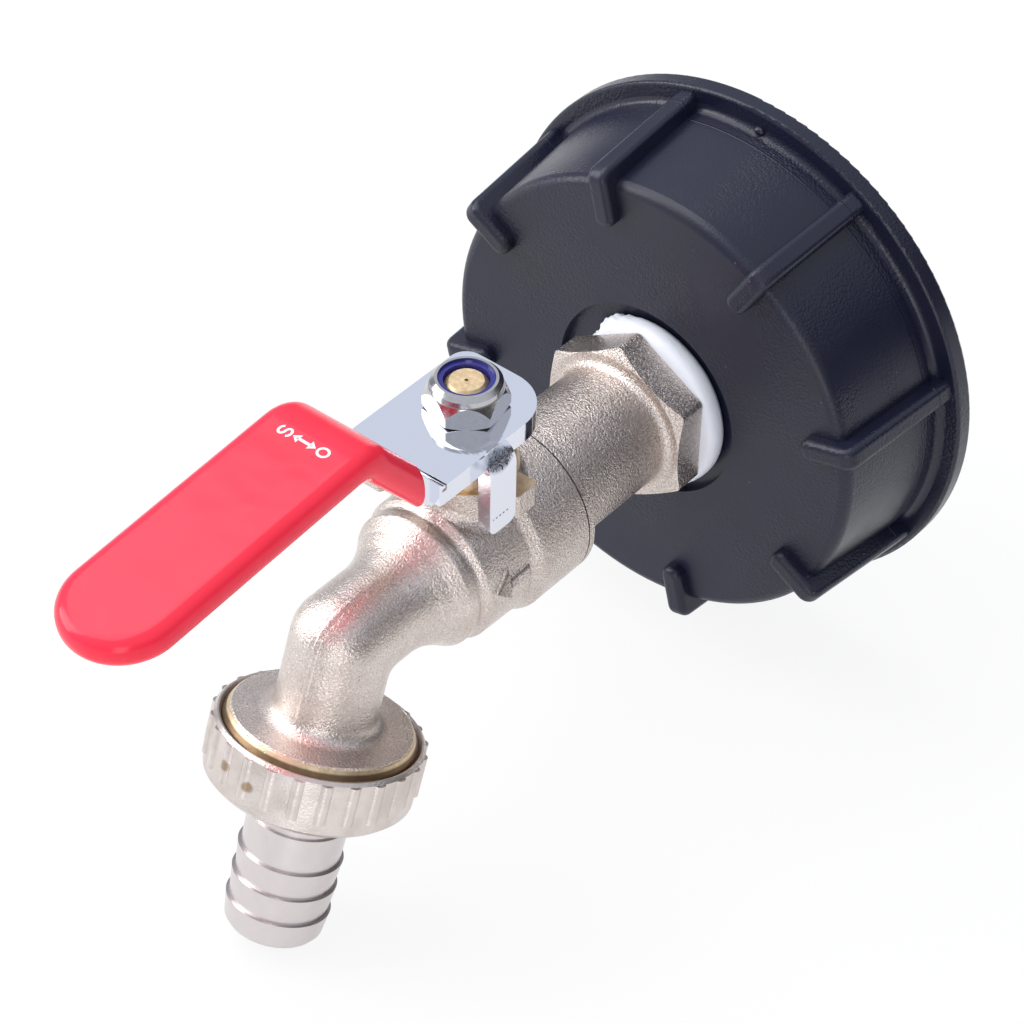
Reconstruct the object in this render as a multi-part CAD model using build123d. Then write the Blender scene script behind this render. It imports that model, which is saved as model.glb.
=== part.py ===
"""Tank valve: a coarse-threaded tank cap with a bent ball tap and a hose union.

The pipe axis is Y. The tank side is +Y and the tap points to -Y. The lever is on top
(+Z) and the outlet points down and slightly forward. The origin is the centre of the
cap's rear opening, on the pipe axis. The lever is shown open, in line with the pipe.
"""

from math import cos, radians, sin, sqrt, tan
import os

from build123d import *

os.makedirs("parts", exist_ok=True)

# Clearances
THREAD_FIT = 0.08
RUNNING_FIT = 0.05
SEAL_GAP = 0.3
FREE_GAP = 0.5
SEAT_FIT = 0.1
PAST_END = 1.0

# Tank cap, a moulded shell with a coarse thread inside
TANK_THREAD_R = 30.0
TANK_THREAD_LENGTH = 10.2
THREAD_RELIEF = 0.8
CAP_DEPTH = 22.3
CAP_WALL = 6.7
CAP_FLANGE_WIDTH = 3.3
CAP_FLANGE_T = 3.0
CAP_DRAFT = 2.0
CAP_FACE_T = 3.4
CAP_EDGE_FILLET = 1.6
CAP_FOOT_FILLET = 1.2
CAP_RIM_ROUND = 0.5
CAP_RECESS_R = 15.3
CAP_RECESS_DEPTH = 1.4
CAP_BOSS_R = 17.5
CAP_BOSS_LENGTH = 7.5
RIB_COUNT = 8
RIB_FIRST_ANGLE = 14.5
RIB_WIDTH = 3.3
RIB_FOOT_RISE = 2.6
RIB_NOSE_RISE = 2.4
RIB_STANDOUT = 2.0
RIB_LEG_LENGTH = 6.3
RIB_END_R = 1.5
RIB_FILLET = 1.0

# Flat gasket inside the cap
GASKET_WIDTH = 7.5
GASKET_T = 3.0

# Inlet connector, with a male pipe thread in the cap and a hexagon
PIPE_THREAD_R = 10.48
TAPE_T = 0.4
TAPE_SETBACK = 1.0
STUB_LENGTH = 9.0
STUB_CHAMFER = 0.8
WATERWAY_R = 5.2
SEAL_RING_R = 13.0
SEAL_RING_T = 3.6
SEAL_RING_FILLET = 1.4
HEX_ACROSS = 22.9
HEX_T = 5.1
HEX_CORNER_R = 1.0
HEX_CHAMFER_ANGLE = 30.0
BARREL_R = 9.5
BARREL_FILLET = 1.2
SEAM_FLANGE_R = 10.8
SEAM_FLANGE_T = 1.1
BODY_THREAD_R = 9.6
BODY_THREAD_LENGTH = 5.6

# Valve body
SEAM_Y = -48.5
STEM_Y = -61.4
BODY_R = 12.2
SHOULDER_START = 2.2
SHOULDER_RUN = 1.5
CHAMBER_R = 11.1
CHAMBER_DRAFT = 0.2
CHAMBER_LAP = 1.3
WAIST_R = 10.0
WAIST_START = 2.4
BEAD_R = 10.2
BEAD_START = 3.3
BEAD_WIDTH = 1.0
NECKED_R = 8.8
NECKED_LENGTH = 3.2
BODY_ROUND = 0.6
SPOUT_R = 7.0
SPOUT_START = 9.4
SPOUT_STEP = 0.1
SPOUT_BORE_R = 4.8
BODY_EDGE_CHAMFER = 0.4
SEAM_GROOVE_OFFSET = 1.4
SEAM_GROOVE = 0.2
JOINT_SEAL_R = 0.6
ELBOW_Y = -86.1
ELBOW_INNER_R = 4.0
SPOUT_TILT = 20.4
ELBOW_TO_OUTLET = 12.4
OUTLET_DISC_STEP = 0.7
OUTLET_DISC_T = 1.2
OUTLET_BEVEL = 0.3
OUTLET_FILLET = 2.0
UNION_THREAD_R = 13.2
UNION_THREAD_LENGTH = 3.9
UNION_THREAD_CHAMFER = 0.4

# Neck, stop lugs and stem
NECK_R = 7.1
NECK_FLARE = 0.4
NECK_TOP = 14.5
COLLAR_R = 6.6
COLLAR_TOP = 20.5
LUG_T = 4.2
LUG_ROUND = 0.6
OPEN_LUG_REACH = 10.0
CLOSED_LUG_REACH = 9.3
LUG_DROP = 3.6
STEM_R = 4.0
STEM_SHOULDER_R = 5.0
STEM_SHOULDER_T = 1.6
STEM_THREAD_R = 3.0
STEM_FLATS = 5.4
STEM_TOP = 28.1
STEM_CHAMFER = 0.7
STEM_TANG_T = 3.0
WASHER_T = 0.6
ORING_SECTION_R = 0.8
ORING_PITCH = 3.2

# Ball and seats
BALL_R = 8.0
SEAT_T = 3.0
SEAT_R = 8.6
SEAT_CONTACT = 0.76
SLOT_DEPTH = 2.2

# Lever
PLATE_T = 3.0
PLATE_GAP = 0.3
PLATE_HALF = 8.1
PLATE_END = 9.0
PLATE_CORNER_R = 2.6
PLATE_ROUND_R = 7.0
JOGGLE_START = 14.8
JOGGLE_RUN = 11.6
JOGGLE_RISE = 13.4
JOGGLE_BEND_R = 1.6
GRIP_BEND_R = 3.7
GRIP_FALL = 5.2
GRIP_LENGTH = 43.3
GRIP_HALF = 7.3
SLEEVE_WALL = 0.8
SLEEVE_LAP = 2.0
SLEEVE_SLANT = 5.0
SLEEVE_CORNER_R = 2.1
TAB_T = 2.0
TAB_BEND_R = 1.0
TAB_FOOT_R = 1.4
TAB_WIDTH = 5.2
TAB_OFFSET = -4.2
TAB_OUTER_X = 9.8
TAB_BOTTOM = 11.1
LEVER_SWING = 90.0

# Lock nut
NUT_ACROSS = 10.0
NUT_HEX_T = 3.4
NUT_DOME_ANGLE = 65.0
NUT_HEIGHT = 4.8
NUT_COLLAR_R = 4.8
NUT_COLLAR_DRAFT = 0.1
NUT_ROUND = 0.6
NUT_LIP = 0.4
NUT_LIP_FLARE = 0.3
NUT_TURN = 42.0
INSERT_R = 3.9
INSERT_T = 1.4

# Hose union
UNION_WALL = 1.1
UNION_RIB_T = 0.4
UNION_RIB_COUNT = 24
UNION_RIB_R = 1.0
UNION_RIB_START = 0.5
UNION_RIB_LENGTH = 5.9
UNION_BEVEL = 0.4
UNION_END_BEVEL = 0.8
UNION_TOP = 0.9
UNION_HEIGHT = 8.7
HOSE_GASKET_T = 1.5
COLLAR_FREE = 1.6
TAIL_COLLAR_T = 1.4
TAIL_NECK_R = 6.6
TAIL_BORE_R = 5.3
TAIL_LAND_DRAFT = 0.15
TAIL_END_CHAMFER = 0.8
TAIL_END_FALL = 0.6
BARB_R = 7.25
BARB_ROOT_R = 6.8
BARB_PITCH = 4.1
BARB_COUNT = 3
TAIL_LAND_START = 14.8
TAIL_LAND_LENGTH = 5.4


def along_y(shape, y=0.0):
    """Turn a shape that was drawn along +Z so that it lies along -Y, from y."""
    return Pos(0, y, 0) * Rot(90, 0, 0) * shape


def turned(points):
    """Revolve an outline of (radius, height) points about the Z axis."""
    outline = Polyline(*[(r, 0, h) for r, h in points], close=True)
    return revolve(make_face(outline), Axis.Z)


def ring(inner_r, outer_r, height, z=0.0):
    """A plain ring standing on z."""
    disc = Cylinder(outer_r, height, align=(Align.CENTER, Align.CENTER, Align.MIN))
    hole = Cylinder(inner_r, height, align=(Align.CENTER, Align.CENTER, Align.MIN))
    return Pos(0, 0, z) * (disc - hole)


def hexagon(across, height, low_angle, high_angle, corner_round=0.0):
    """A hexagonal prism on z = 0, with the corners turned off at each end at an angle."""
    corner_r = across / sqrt(3)
    inner_r = across / 2
    prism = extrude(RegularPolygon(corner_r, 6), height)
    if corner_round:
        prism = fillet(prism.edges().filter_by(Axis.Z), corner_round)
    low = (corner_r - inner_r) * tan(radians(low_angle))
    high = (corner_r - inner_r) * tan(radians(high_angle))
    start_r = inner_r if low else corner_r
    end_r = inner_r if high else corner_r
    points = [(0, 0), (start_r, 0), (corner_r, low), (corner_r, height - high)]
    points += [(end_r, height), (0, height)]
    corners = [point for index, point in enumerate(points) if point not in points[:index]]
    return prism & turned(corners)


# Union radii, from its thread
outlet_disc_r = UNION_THREAD_R - OUTLET_DISC_STEP
union_outer_r = UNION_THREAD_R + UNION_WALL
tail_collar_r = UNION_THREAD_R - COLLAR_FREE

# Cap radii, outwards from the tank thread
cap_foot_r = TANK_THREAD_R + CAP_WALL
cap_face_r = cap_foot_r - CAP_DRAFT
cap_flange_r = cap_foot_r + CAP_FLANGE_WIDTH

# Places along the pipe, measured from the cap's rear opening towards the tap
face_y = -CAP_DEPTH
recess_y = face_y + CAP_RECESS_DEPTH
hex_back_y = recess_y - SEAL_RING_T
hex_front_y = hex_back_y - HEX_T
thread_end_y = SEAM_Y - BODY_THREAD_LENGTH
nose_y = STEM_Y + SEAT_CONTACT * BALL_R
chamber_end_y = STEM_Y - SEAT_CONTACT * BALL_R

# Heights on the stem axis
plate_bottom = COLLAR_TOP + PLATE_GAP
plate_top = plate_bottom + PLATE_T
chamber_bore_r = SEAT_R + SEAT_FIT
shoulder_top = chamber_bore_r + STEM_SHOULDER_T
tang_reach = SEAT_CONTACT * BALL_R - SEAT_T - RUNNING_FIT
tang_width = 2 * sqrt(tang_reach**2 - (STEM_TANG_T / 2) ** 2)
insert_start = NUT_HEIGHT - INSERT_T - NUT_LIP

# Outlet axis, tilted forward
tilt = radians(SPOUT_TILT)
outlet_dir = Vector(0, -sin(tilt), -cos(tilt))
elbow = Vector(0, ELBOW_Y, 0)
outlet = elbow + outlet_dir * ELBOW_TO_OUTLET
outlet_plane = Plane(origin=outlet, x_dir=(1, 0, 0), z_dir=outlet_dir)


def cap_rib():
    """One grip rib: up the side wall, over the edge and down the front face."""
    front = CAP_DEPTH + RIB_STANDOUT
    leg_r = cap_face_r - RIB_LEG_LENGTH
    nose_r = cap_face_r + RIB_NOSE_RISE
    root_r = cap_face_r - CAP_EDGE_FILLET
    root = CAP_DEPTH - CAP_FACE_T / 2
    outline = Polyline(
        (leg_r, 0, root),
        (leg_r, 0, front),
        (nose_r, 0, front),
        (cap_foot_r + RIB_FOOT_RISE, 0, CAP_FLANGE_T / 2),
        (root_r, 0, CAP_FLANGE_T / 2),
        (root_r, 0, root),
        close=True,
    )
    rib = extrude(make_face(outline), RIB_WIDTH / 2, both=True)
    crown = rib.edges().filter_by(Axis.Y).sort_by_distance((nose_r, 0, front))[0]
    rib = fillet(crown, RIB_STANDOUT)
    end = rib.edges().filter_by(Axis.Z).sort_by(Axis.X)[:2]
    rib = fillet(end, RIB_END_R)
    across = rib.edges().filter_by(Axis.Y)
    front_edges = [e for e in rib.edges() if e.center().Z > CAP_DEPTH]
    wall_edges = [e for e in rib.edges() if e.center().X > cap_foot_r and e.center().Z > CAP_FLANGE_T]
    return fillet([e for e in set(front_edges + wall_edges) if e not in across], RIB_FILLET)


def cap_shell():
    face_end = CAP_DEPTH - CAP_FACE_T
    relief_r = TANK_THREAD_R + THREAD_RELIEF
    wall = turned(
        [
            (TANK_THREAD_R, 0),
            (cap_flange_r, 0),
            (cap_flange_r, CAP_FLANGE_T),
            (cap_foot_r, CAP_FLANGE_T),
            (cap_face_r, CAP_DEPTH),
            (CAP_RECESS_R, CAP_DEPTH),
            (CAP_RECESS_R, CAP_DEPTH - CAP_RECESS_DEPTH),
            (PIPE_THREAD_R, CAP_DEPTH - CAP_RECESS_DEPTH),
            (PIPE_THREAD_R, face_end - CAP_BOSS_LENGTH),
            (CAP_BOSS_R, face_end - CAP_BOSS_LENGTH),
            (CAP_BOSS_R, face_end),
            (relief_r, face_end),
            (relief_r, TANK_THREAD_LENGTH),
            (TANK_THREAD_R, TANK_THREAD_LENGTH),
        ]
    )
    rims = wall.edges().filter_by(GeomType.CIRCLE)
    front_rim = [e for e in rims if abs(e.radius - cap_face_r) < 0.01]
    wall = fillet(front_rim, CAP_EDGE_FILLET)
    foot = [e for e in wall.edges().filter_by(GeomType.CIRCLE) if abs(e.radius - cap_foot_r) < 0.01]
    wall = fillet(foot, CAP_FOOT_FILLET)
    rim = [e for e in wall.edges().filter_by(GeomType.CIRCLE) if abs(e.radius - cap_flange_r) < 0.01]
    wall = fillet(rim, CAP_RIM_ROUND)
    for index in range(RIB_COUNT):
        angle = RIB_FIRST_ANGLE + index * 360 / RIB_COUNT
        wall += Rot(0, 0, angle) * cap_rib()
    return along_y(wall)


def cap_gasket():
    outer_r = TANK_THREAD_R + THREAD_RELIEF - SEAL_GAP
    height = CAP_DEPTH - CAP_FACE_T - GASKET_T
    return along_y(ring(outer_r - GASKET_WIDTH, outer_r, GASKET_T, height))


def seal_ring():
    washer = ring(PIPE_THREAD_R, SEAL_RING_R, SEAL_RING_T, -recess_y)
    front = washer.edges().filter_by(GeomType.CIRCLE)
    front = [e for e in front if e.radius > SEAL_RING_R - 0.01 and e.center().Z > -recess_y + 0.01]
    return along_y(fillet(front, SEAL_RING_FILLET))


def thread_tape():
    start = -recess_y - STUB_LENGTH + TAPE_SETBACK
    outer_r = PIPE_THREAD_R - THREAD_FIT
    return along_y(ring(outer_r - TAPE_T, outer_r, STUB_LENGTH - TAPE_SETBACK, start))


def inlet_connector():
    stub_r = PIPE_THREAD_R - THREAD_FIT - TAPE_T
    stub_start = -recess_y - STUB_LENGTH
    back = -hex_back_y
    front = -hex_front_y
    seam = -SEAM_Y
    stub = turned(
        [
            (WATERWAY_R, stub_start),
            (stub_r - STUB_CHAMFER, stub_start),
            (stub_r, stub_start + STUB_CHAMFER),
            (stub_r, back),
            (BARREL_R, back),
            (BARREL_R, seam - SEAM_FLANGE_T),
            (SEAM_FLANGE_R, seam - SEAM_FLANGE_T),
            (SEAM_FLANGE_R, seam),
            (BODY_THREAD_R, seam),
            (BODY_THREAD_R, -thread_end_y),
            (SEAT_R, -thread_end_y),
            (SEAT_R, -nose_y),
            (WATERWAY_R, -nose_y),
        ]
    )
    corners_up = Rot(0, 0, 30)
    nut = Pos(0, 0, back) * corners_up * hexagon(HEX_ACROSS, HEX_T, 0, HEX_CHAMFER_ANGLE, HEX_CORNER_R)
    standing = (Align.CENTER, Align.CENTER, Align.MIN)
    nut -= Pos(0, 0, back) * Cylinder(WATERWAY_R + PAST_END, HEX_T, align=standing)
    whole = stub + nut
    root = [
        e
        for e in whole.edges().filter_by(GeomType.CIRCLE)
        if abs(e.radius - BARREL_R) < 0.01 and abs(e.center().Z - front) < 0.01
    ]
    return along_y(fillet(root, BARREL_FILLET))


def joint_seal():
    centre_r = BODY_THREAD_R + JOINT_SEAL_R + THREAD_FIT
    section = Pos(centre_r, 0, -SEAM_Y + JOINT_SEAL_R) * Rot(90, 0, 0) * Circle(JOINT_SEAL_R)
    return along_y(revolve(section, Axis.Z))


def spout(radius, start_y, drop):
    """A round tube: along the pipe, round a ball at the elbow and down the outlet axis."""
    along = Plane(origin=(0, start_y, 0), x_dir=(1, 0, 0), z_dir=(0, -1, 0))
    down = Plane(origin=elbow, x_dir=(1, 0, 0), z_dir=outlet_dir)
    standing = (Align.CENTER, Align.CENTER, Align.MIN)
    tube = along * Cylinder(radius, start_y - ELBOW_Y, align=standing)
    tube += down * Cylinder(radius, drop, align=standing)
    return tube + Pos(*elbow) * Sphere(radius)


def stop_lug(turn, face_y, side, reach):
    """A block on the neck whose flat side stops the lever tab, on the tab's given side."""
    across = Align.MIN if side > 0 else Align.MAX
    block = Box(reach, LUG_T, LUG_DROP, align=(Align.MIN, across, Align.MAX))
    block = fillet(block.edges().filter_by(Axis.Z).sort_by(Axis.X)[-2:], LUG_ROUND)
    return Pos(0, STEM_Y, 0) * Rot(0, 0, turn) * Pos(0, face_y, NECK_TOP) * block


def valve_body():
    seam = -SEAM_Y
    stem = -STEM_Y
    end = -chamber_end_y
    spout_start = end + SPOUT_START
    profile = Polyline(
        (0, 0, seam),
        (BODY_R, 0, seam),
        (BODY_R, 0, stem - SHOULDER_START),
        (CHAMBER_R, 0, stem - SHOULDER_START + SHOULDER_RUN),
        (CHAMBER_R - CHAMBER_DRAFT, 0, end + CHAMBER_LAP),
        (WAIST_R, 0, end + WAIST_START),
        (BEAD_R, 0, end + BEAD_START),
        (BEAD_R, 0, end + BEAD_START + BEAD_WIDTH),
        (NECKED_R, 0, spout_start - NECKED_LENGTH),
        (SPOUT_R + SPOUT_STEP, 0, spout_start),
        (0, 0, spout_start),
        close=True,
    )
    body = revolve(make_face(profile), Axis.Z)
    rounds = body.edges().filter_by(GeomType.CIRCLE)
    soft = [e for e in rounds if seam + 0.01 < e.center().Z < spout_start - 0.01]
    body = fillet(soft, BODY_ROUND)
    rear = [e for e in body.edges().filter_by(GeomType.CIRCLE) if abs(e.center().Z - seam) < 0.01]
    body = chamfer(rear, BODY_EDGE_CHAMFER)
    groove_start = seam + SEAM_GROOVE_OFFSET
    body -= ring(BODY_R - SEAM_GROOVE, BODY_R + PAST_END, SEAM_GROOVE, groove_start)
    body = along_y(body)

    disc_top = -OUTLET_DISC_T / 2 - OUTLET_FILLET
    outside = spout(SPOUT_R, PAST_END - spout_start, ELBOW_TO_OUTLET + disc_top)
    crease = [e for e in outside.edges() if e.geom_type == GeomType.ELLIPSE]
    body += fillet(crease, ELBOW_INNER_R)
    stub_end = OUTLET_DISC_T + UNION_THREAD_LENGTH
    outline = Polyline(
        (0, 0, disc_top),
        (SPOUT_R, 0, disc_top),
        (SPOUT_R, 0, -OUTLET_DISC_T / 2),
        (outlet_disc_r - OUTLET_BEVEL, 0, -OUTLET_BEVEL),
        (outlet_disc_r, 0, 0),
        (UNION_THREAD_R, 0, OUTLET_DISC_T),
        (UNION_THREAD_R, 0, stub_end - UNION_THREAD_CHAMFER),
        (UNION_THREAD_R - UNION_THREAD_CHAMFER, 0, stub_end),
        (0, 0, stub_end),
        close=True,
    )
    disc = make_face(outline)
    root = disc.vertices().sort_by_distance((SPOUT_R, 0, -OUTLET_DISC_T / 2))[0]
    body += outlet_plane * revolve(fillet(root, OUTLET_FILLET), Axis.Z)

    neck = turned(
        [
            (0, 0),
            (NECK_R + NECK_FLARE, 0),
            (NECK_R, NECK_TOP),
            (COLLAR_R, NECK_TOP),
            (COLLAR_R, COLLAR_TOP),
            (0, COLLAR_TOP),
        ]
    )
    body += Pos(0, STEM_Y, 0) * neck
    tab_rear = TAB_OFFSET + TAB_WIDTH / 2 + RUNNING_FIT
    tab_front = TAB_OFFSET - TAB_WIDTH / 2 - RUNNING_FIT
    body += stop_lug(0, tab_rear, 1, OPEN_LUG_REACH)
    body += stop_lug(-LEVER_SWING, tab_front, -1, CLOSED_LUG_REACH)

    seal_r = BODY_THREAD_R + 2 * JOINT_SEAL_R + 2 * THREAD_FIT
    seal_end = seam + 2 * JOINT_SEAL_R
    thread_r = BODY_THREAD_R + THREAD_FIT
    thread_end = -thread_end_y + FREE_GAP
    bore = turned(
        [
            (0, seam - PAST_END),
            (seal_r, seam - PAST_END),
            (seal_r, seal_end),
            (thread_r, seal_end),
            (thread_r, thread_end),
            (chamber_bore_r, thread_end),
            (chamber_bore_r, end),
            (WATERWAY_R, end),
            (WATERWAY_R, end + CHAMBER_LAP),
            (0, end + CHAMBER_LAP),
        ]
    )
    body -= along_y(bore)
    body -= spout(SPOUT_BORE_R, chamber_end_y, ELBOW_TO_OUTLET + stub_end + PAST_END)
    stem_bore = turned(
        [
            (0, 0),
            (STEM_SHOULDER_R + SEAT_FIT, 0),
            (STEM_SHOULDER_R + SEAT_FIT, shoulder_top),
            (STEM_R + RUNNING_FIT, shoulder_top),
            (STEM_R + RUNNING_FIT, COLLAR_TOP + PAST_END),
            (0, COLLAR_TOP + PAST_END),
        ]
    )
    body -= Pos(0, STEM_Y, 0) * stem_bore
    return body


def seat(side):
    """A soft ring cupped round the ball, on the inlet (1) or outlet (-1) side."""
    blank = ring(WATERWAY_R, SEAT_R, SEAT_T)
    if side > 0:
        blank = along_y(blank, nose_y)
    else:
        blank = along_y(blank, chamber_end_y + SEAT_T)
    return blank - Pos(0, STEM_Y, 0) * Sphere(BALL_R + RUNNING_FIT)


def tank_ball():
    ball = Sphere(BALL_R)
    ball -= Rot(90, 0, 0) * Cylinder(WATERWAY_R, 4 * BALL_R)
    slot = Box(
        4 * BALL_R,
        STEM_TANG_T + 2 * RUNNING_FIT,
        SLOT_DEPTH + BALL_R,
        align=(Align.CENTER, Align.CENTER, Align.MIN),
    )
    ball -= Pos(0, 0, BALL_R - SLOT_DEPTH) * slot
    return Pos(0, STEM_Y, 0) * ball


def stem():
    washer_z = shoulder_top - WASHER_T
    shaft = turned(
        [
            (0, BALL_R - SLOT_DEPTH + RUNNING_FIT),
            (STEM_SHOULDER_R, BALL_R - SLOT_DEPTH + RUNNING_FIT),
            (STEM_SHOULDER_R, washer_z - RUNNING_FIT),
            (STEM_R, washer_z - RUNNING_FIT),
            (STEM_R, plate_bottom),
            (STEM_R, plate_top - FREE_GAP),
            (STEM_THREAD_R, plate_top - FREE_GAP),
            (STEM_THREAD_R, STEM_TOP - STEM_CHAMFER),
            (STEM_THREAD_R - STEM_CHAMFER, STEM_TOP),
            (0, STEM_TOP),
        ]
    )
    for height in oring_heights():
        root_r = STEM_R - ORING_SECTION_R
        groove = ring(root_r, STEM_R + PAST_END, 2 * ORING_SECTION_R + RUNNING_FIT)
        shaft -= Pos(0, 0, height - ORING_SECTION_R) * groove
    tang_top = SEAT_R + RUNNING_FIT
    tang_keep = Box(
        tang_width,
        STEM_TANG_T,
        2 * BALL_R,
        align=(Align.CENTER, Align.CENTER, Align.MAX),
    )
    low = Cylinder(2 * STEM_R, 2 * BALL_R, align=(Align.CENTER, Align.CENTER, Align.MAX))
    shaft -= Pos(0, 0, tang_top) * (low - tang_keep)
    flats = Box(4 * STEM_R, 4 * STEM_R, PLATE_T, align=(Align.CENTER, Align.CENTER, Align.MIN))
    flats -= Box(STEM_FLATS, 4 * STEM_R, PLATE_T, align=(Align.CENTER, Align.CENTER, Align.MIN))
    shaft -= Pos(0, 0, plate_bottom) * flats
    return Pos(0, STEM_Y, 0) * shaft


def oring_heights():
    first = shoulder_top + ORING_PITCH
    return [first, first + ORING_PITCH]


def stem_oring(height):
    """A cord ring in its groove, cut off where the bore squeezes it."""
    section = Pos(STEM_R, 0, 0) * Rot(90, 0, 0) * Circle(ORING_SECTION_R)
    squeezed_r = STEM_R + RUNNING_FIT / 2
    root_r = STEM_R - ORING_SECTION_R
    groove = ring(root_r, squeezed_r, 4 * ORING_SECTION_R, -2 * ORING_SECTION_R)
    return Pos(0, STEM_Y, height) * (revolve(section, Axis.Z) & groove)


def thrust_washer():
    inner_r = STEM_R + RUNNING_FIT
    band = ring(inner_r, STEM_SHOULDER_R, WASHER_T - 2 * RUNNING_FIT, shoulder_top - WASHER_T)
    return Pos(0, STEM_Y, 0) * band


def lever_line(grip_length):
    """The lever's side view: along the metal's mid-line, over the joggle, down the grip."""
    mid = plate_bottom + PLATE_T / 2
    first = STEM_Y - JOGGLE_START
    second = first - JOGGLE_RUN
    top = mid + JOGGLE_RISE
    points = [
        (0, STEM_Y, mid),
        (0, first, mid),
        (0, second, top),
        (0, second - grip_length, top - tan(radians(GRIP_FALL)) * grip_length),
    ]
    bends = (JOGGLE_BEND_R + PLATE_T / 2, GRIP_BEND_R + PLATE_T / 2)
    return FilletPolyline(*points, radius=bends)


def lever_strip(section, path):
    """A flat strip swept along the lever's side view."""
    plane = Plane(origin=path @ 0, x_dir=(1, 0, 0), z_dir=(0, -1, 0))
    return sweep(plane * section, path=path)


def tip_outline(half_width, back, reach):
    """Plan view of a strip with a half-round tip."""
    straight = reach - half_width
    face = Pos(0, -(straight + back) / 2) * Rectangle(2 * half_width, straight - back)
    face += Pos(0, -straight) * Circle(half_width)
    return face


def plate_plan(front):
    """Plan view of the plate round the stem: one tight corner and one wide one."""
    plan = Pos(0, (PLATE_END - front) / 2) * Rectangle(2 * PLATE_HALF, PLATE_END + front)
    corners = plan.vertices().sort_by(Axis.Y)[-2:].sort_by(Axis.X)
    plan = fillet(corners[0], PLATE_CORNER_R)
    wide = plan.vertices().sort_by_distance((PLATE_HALF, PLATE_END, 0))[0]
    return fillet(wide, PLATE_ROUND_R)


def lever_plate():
    strip = lever_strip(Rectangle(2 * PLATE_HALF, PLATE_T), lever_line(GRIP_LENGTH))
    reach = JOGGLE_START + JOGGLE_RUN + GRIP_LENGTH
    grip = tip_outline(GRIP_HALF, JOGGLE_START, reach - SLEEVE_WALL)
    cutter = extrude(Pos(0, STEM_Y, 0) * (plate_plan(JOGGLE_START) + grip), 3 * COLLAR_TOP)
    end = Pos(0, STEM_Y, plate_bottom) * extrude(plate_plan(1.0), PLATE_T)
    plate = (strip & cutter) + end
    hole = Box(STEM_FLATS + 2 * RUNNING_FIT, 2 * STEM_R + 2 * RUNNING_FIT, 2 * PLATE_T)
    hole &= Cylinder(STEM_R + RUNNING_FIT, 2 * PLATE_T)
    plate -= Pos(0, STEM_Y, plate_bottom + PLATE_T / 2) * hole
    return plate + stop_tab()


def stop_tab():
    """The tab bent down from the plate's side, which meets the stop lugs."""
    outer_x = TAB_OUTER_X
    inner_x = outer_x - TAB_T
    side = Polyline(
        (PLATE_HALF / 2, 0, plate_bottom),
        (inner_x, 0, plate_bottom),
        (inner_x, 0, TAB_BOTTOM),
        (outer_x, 0, TAB_BOTTOM),
        (outer_x, 0, plate_top),
        (PLATE_HALF / 2, 0, plate_top),
        close=True,
    )
    tab = extrude(make_face(side), TAB_WIDTH / 2, both=True)
    bends = tab.edges().filter_by(Axis.Y)
    inner = bends.sort_by_distance((inner_x, 0, plate_bottom))[0]
    tab = fillet(inner, TAB_BEND_R)
    outer = tab.edges().filter_by(Axis.Y).sort_by_distance((outer_x, 0, plate_top))[0]
    tab = fillet(outer, TAB_BEND_R + TAB_T)
    foot = tab.edges().filter_by(Axis.X).sort_by(Axis.Z)[:2]
    tab = fillet(foot, TAB_FOOT_R)
    return Pos(0, STEM_Y + TAB_OFFSET, 0) * tab


def lever_sleeve():
    """The dipped grip: the metal's outline grown by its wall, with a half-round tip."""
    half = GRIP_HALF + SLEEVE_WALL
    path = lever_line(GRIP_LENGTH - half)
    section = RectangleRounded(2 * half, PLATE_T + 2 * SLEEVE_WALL, SLEEVE_CORNER_R)
    skin = lever_strip(section, path)
    end = Plane(origin=path @ 1, x_dir=(1, 0, 0), z_dir=path % 1)
    side = Pos(half, 0) * Rectangle(2 * half, 4 * half)
    tip = revolve(end * (section & side), Axis(end.origin, end.y_dir), -180)
    skin += tip
    keep = Box(4 * half, 4 * GRIP_LENGTH, 8 * COLLAR_TOP, align=(Align.CENTER, Align.MAX, Align.CENTER))
    skin &= Pos(0, STEM_Y - JOGGLE_START - SLEEVE_LAP, 0) * Rot(0, 0, -SLEEVE_SLANT) * keep
    return skin - lever_plate()


def lock_nut():
    blank = hexagon(NUT_ACROSS, NUT_HEX_T, HEX_CHAMFER_ANGLE, NUT_DOME_ANGLE)
    collar = turned(
        [
            (0, 0),
            (NUT_COLLAR_R + NUT_COLLAR_DRAFT, NUT_HEX_T - NUT_ROUND),
            (NUT_COLLAR_R, NUT_HEIGHT - NUT_ROUND),
            (NUT_COLLAR_R - NUT_ROUND, NUT_HEIGHT),
            (0, NUT_HEIGHT),
        ]
    )
    blank += collar
    bore = turned(
        [
            (0, -PAST_END),
            (STEM_THREAD_R + THREAD_FIT, -PAST_END),
            (STEM_THREAD_R + THREAD_FIT, insert_start),
            (INSERT_R, insert_start),
            (INSERT_R, NUT_HEIGHT - NUT_LIP),
            (INSERT_R - NUT_LIP_FLARE, NUT_HEIGHT + PAST_END),
            (0, NUT_HEIGHT + PAST_END),
        ]
    )
    blank -= bore
    return Pos(0, STEM_Y, plate_top) * Rot(0, 0, NUT_TURN) * blank


def nylon_insert():
    band = ring(STEM_THREAD_R + THREAD_FIT, INSERT_R, INSERT_T, insert_start)
    return Pos(0, STEM_Y, plate_top) * band


# Heights along the outlet axis, measured from the outlet disc's top face
thread_face = OUTLET_DISC_T + UNION_THREAD_LENGTH
collar_top = thread_face + HOSE_GASKET_T
collar_bottom = collar_top + TAIL_COLLAR_T
union_bottom = UNION_TOP + UNION_HEIGHT


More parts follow.
